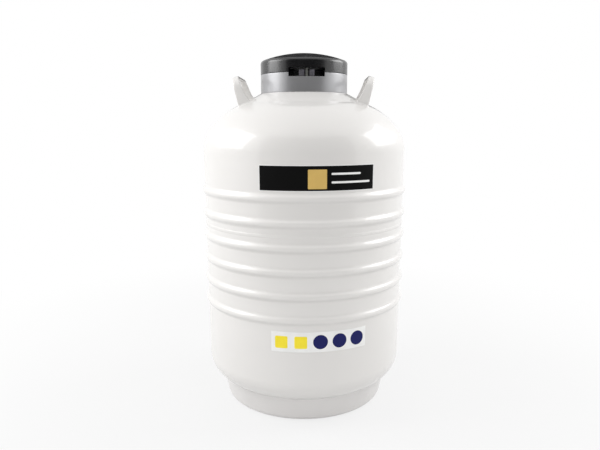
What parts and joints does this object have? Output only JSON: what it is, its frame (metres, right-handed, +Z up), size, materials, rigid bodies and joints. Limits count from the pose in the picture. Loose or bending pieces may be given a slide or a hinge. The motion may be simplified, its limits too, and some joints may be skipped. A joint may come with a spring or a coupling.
{
  "type": "liquid nitrogen storage dewar",
  "caption": "Vacuum insulated storage flask with a beaded white shell, foot ring, strap handles, lockable black lid and canisters hung inside a narrow neck.",
  "frame": {"origin": "on the floor, on the axis of the vessel", "axes": "+Z up along the axis, handles at +X and -X, lock window towards -Y"},
  "size_m": [0.368, 0.3678, 0.6248],
  "materials": {
    "shell_paint": "glossy white powder coat with a fine ripple",
    "ring_paint": "satin white powder coat",
    "collar_paint": "satin grey paint with a fine grain",
    "lid_plastic": "finely grained black moulding",
    "hasp_steel": "grey zinc plated",
    "tab_metal": "bare, lightly brushed",
    "screw_steel": "bright",
    "bare_aluminium": "spun, satin",
    "glass_fibre": "resin bonded glass fibre, green yellow",
    "foam": "closed cell foam, cream white",
    "foil_blanket": "crinkled foil and paper layers",
    "adsorbent": "porous grains in a cloth tray",
    "port_rubber": "smooth",
    "port_plastic": "white cap",
    "index_plastic": "white moulding",
    "canister_metal": "thin stainless sheet",
    "label_black": "black film with a fine white border",
    "label_white": "white film with plain coloured marks"
  },
  "bodies": {
    "vessel": {"outer_shell_upper": "shell_paint", "outer_shell_lower": "shell_paint", "girth_weld": "shell_paint", "foot_ring": "ring_paint", "foot_ring_welds": "ring_paint", "handle_right": "shell_paint", "handle_left": "shell_paint", "handle_weld_right": "shell_paint", "handle_weld_left": "shell_paint", "neck_tube": "glass_fibre", "inner_neck_ring": "bare_aluminium", "inner_vessel_upper": "bare_aluminium", "inner_vessel_lower": "bare_aluminium", "superinsulation": "foil_blanket", "adsorbent_tray": "adsorbent", "port_tube": "bare_aluminium", "port_plug": "bare_aluminium", "port_seal_ring": "port_rubber", "port_cap": "port_plastic", "front_label": "label_black", "strip_label": "label_white", "neck_flange": "bare_aluminium", "neck_collar": "collar_paint", "collar_screws": "screw_steel", "hasp_tab": "tab_metal", "index_ring": "index_plastic", "canister_spider": "bare_aluminium", "canister_1": "canister_metal", "canister_handle_1": "canister_metal", "canister_2": "canister_metal", "canister_handle_2": "canister_metal", "canister_3": "canister_metal", "canister_handle_3": "canister_metal", "canister_4": "canister_metal", "canister_handle_4": "canister_metal", "canister_5": "canister_metal", "canister_handle_5": "canister_metal", "canister_6": "canister_metal", "canister_handle_6": "canister_metal"},
    "lid": {"lid_cap": "lid_plastic", "lid_hasp": "hasp_steel", "plug_carrier": "port_plastic", "carrier_screw": "screw_steel", "neck_plug": "foam"}
  },
  "joints": [
    {"name": "lid_lift", "type": "slide", "parent": "vessel", "child": "lid", "axis": [0, 0, 1], "range_m": [0, 0.15]}
  ]
}
